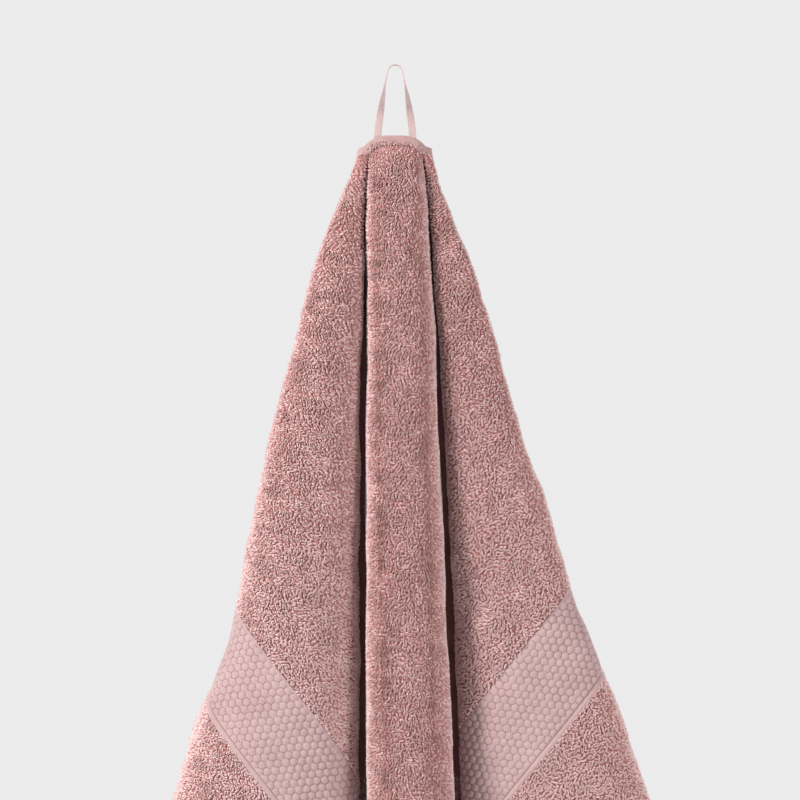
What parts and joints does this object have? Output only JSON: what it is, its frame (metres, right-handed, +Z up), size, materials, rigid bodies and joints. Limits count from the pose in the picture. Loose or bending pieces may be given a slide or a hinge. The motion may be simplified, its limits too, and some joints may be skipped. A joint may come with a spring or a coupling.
{
  "type": "bath towel",
  "caption": "Cotton terry bath towel with honeycomb border bands, hanging in folds from a sewn tape loop.",
  "frame": {"origin": "the inside of the hanging loop's highest point, where it bears on a hook", "axes": "+Z up, -Y out from the wall towards the viewer, +Y towards the wall, +X to the viewer's right"},
  "size_m": [0.5512, 0.1089, 1.0503],
  "materials": {
    "terry_cotton": "looped cotton pile",
    "honeycomb_cotton": "flat honeycomb weave",
    "plain_cotton": "turned and stitched plain weave",
    "woven_tape": "narrow woven cotton tape",
    "sewing_thread": "close zigzag stitching"
  },
  "bodies": {
    "loop": {"hanging_loop": "woven_tape"},
    "towel": {"terry_field": "terry_cotton", "border_band_left": "honeycomb_cotton", "border_band_right": "honeycomb_cotton", "end_terry_left": "terry_cotton", "end_terry_right": "terry_cotton", "end_hem_left": "plain_cotton", "end_hem_right": "plain_cotton", "long_hem_top": "plain_cotton", "long_hem_bottom": "plain_cotton", "loop_end_left": "woven_tape", "loop_end_right": "woven_tape", "bar_tack_left": "sewing_thread", "bar_tack_right": "sewing_thread"}
  },
  "joints": [
    {"name": "towel_swing", "type": "hinge", "parent": "loop", "child": "towel", "pos_m": [0, 0.0006, -0.0707], "axis": [1, 0, 0], "range_deg": [-30, 30]}
  ]
}
